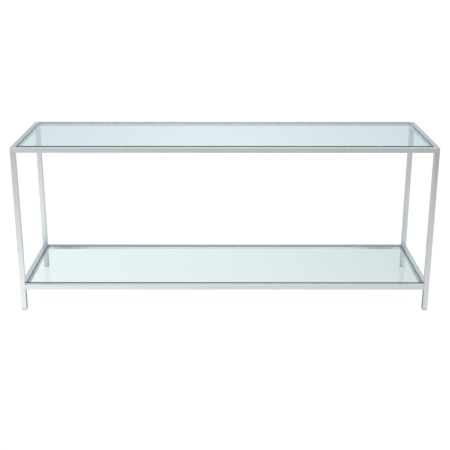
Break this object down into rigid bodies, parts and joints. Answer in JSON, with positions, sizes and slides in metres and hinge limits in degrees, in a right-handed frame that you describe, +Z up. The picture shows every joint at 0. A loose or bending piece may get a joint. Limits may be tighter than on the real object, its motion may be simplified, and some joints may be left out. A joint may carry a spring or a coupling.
{
  "type": "console table",
  "caption": "Long slim console table: a welded square-tube metal frame holding a drop-in clear glass top and a matching glass shelf near the floor.",
  "frame": {"origin": "on the floor, at the middle of the table's length and depth", "axes": "+X along the table's length to the right, +Y from front to back, +Z up"},
  "size_m": [1.83, 0.51, 0.7575],
  "materials": {
    "frame_metal": "satin nickel-coloured, fine grain along each tube",
    "clear_glass": "polished float glass with a green cast at the edges",
    "clear_bumper": "clear soft bumper pads",
    "foot_plastic": "satin grey moulded plastic"
  },
  "bodies": {
    "frame": {"top_front_rail": "frame_metal", "top_back_rail": "frame_metal", "top_left_rail": "frame_metal", "top_right_rail": "frame_metal", "shelf_front_rail": "frame_metal", "shelf_back_rail": "frame_metal", "shelf_left_rail": "frame_metal", "shelf_right_rail": "frame_metal", "front_left_leg": "frame_metal", "front_right_leg": "frame_metal", "back_left_leg": "frame_metal", "back_right_leg": "frame_metal", "top_front_ledge": "frame_metal", "top_back_ledge": "frame_metal", "top_left_ledge": "frame_metal", "top_right_ledge": "frame_metal", "shelf_front_ledge": "frame_metal", "shelf_back_ledge": "frame_metal", "shelf_left_ledge": "frame_metal", "shelf_right_ledge": "frame_metal", "top_bumpers": "clear_bumper", "shelf_bumpers": "clear_bumper", "front_left_foot": "foot_plastic", "front_right_foot": "foot_plastic", "back_left_foot": "foot_plastic", "back_right_foot": "foot_plastic"},
    "top_pane": {"top_glass": "clear_glass"},
    "shelf_pane": {"shelf_glass": "clear_glass"}
  },
  "joints": [
    {"name": "top_glass_lift", "type": "slide", "parent": "frame", "child": "top_pane", "axis": [0, 0, 1], "range_m": [0, 0.06]},
    {"name": "shelf_glass_lift", "type": "slide", "parent": "frame", "child": "shelf_pane", "axis": [0, 0, 1], "range_m": [0, 0.06]}
  ]
}
